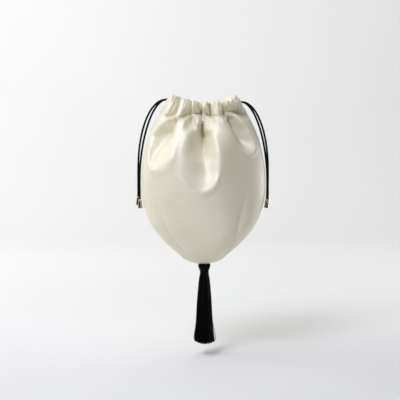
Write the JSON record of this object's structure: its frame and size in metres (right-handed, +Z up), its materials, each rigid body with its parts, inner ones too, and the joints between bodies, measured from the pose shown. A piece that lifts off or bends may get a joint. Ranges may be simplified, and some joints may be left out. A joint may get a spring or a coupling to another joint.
{
  "type": "silk drawstring pouch bag",
  "caption": "Small egg-shaped satin drawstring pouch with a gathered casing, paired black cords with flared metal ends at each side and a black thread tassel under the base.",
  "frame": {"origin": "middle of the gathered mouth, at the height where the cords leave the casing", "axes": "+Z up as it hangs, +X to the viewer's right, -Y towards the viewer"},
  "size_m": [0.1757, 0.1083, 0.3248],
  "materials": {
    "satin": "ivory silk satin, soft sheen",
    "cord": "black round braided cord",
    "thread": "black silky tassel thread",
    "cord_end": "polished rose-brown brass"
  },
  "bodies": {
    "root": {"front_panel": "satin", "back_panel": "satin", "cord_left_front": "cord", "cord_left_back": "cord", "cord_right_front": "cord", "cord_right_back": "cord", "cord_left_loop": "cord", "cord_right_loop": "cord", "tip_left_front": "cord_end", "tip_left_back": "cord_end", "tip_right_front": "cord_end", "tip_right_back": "cord_end", "tassel_bundle": "thread", "tassel_binding": "thread", "tassel_tie": "thread"}
  },
  "joints": []
}
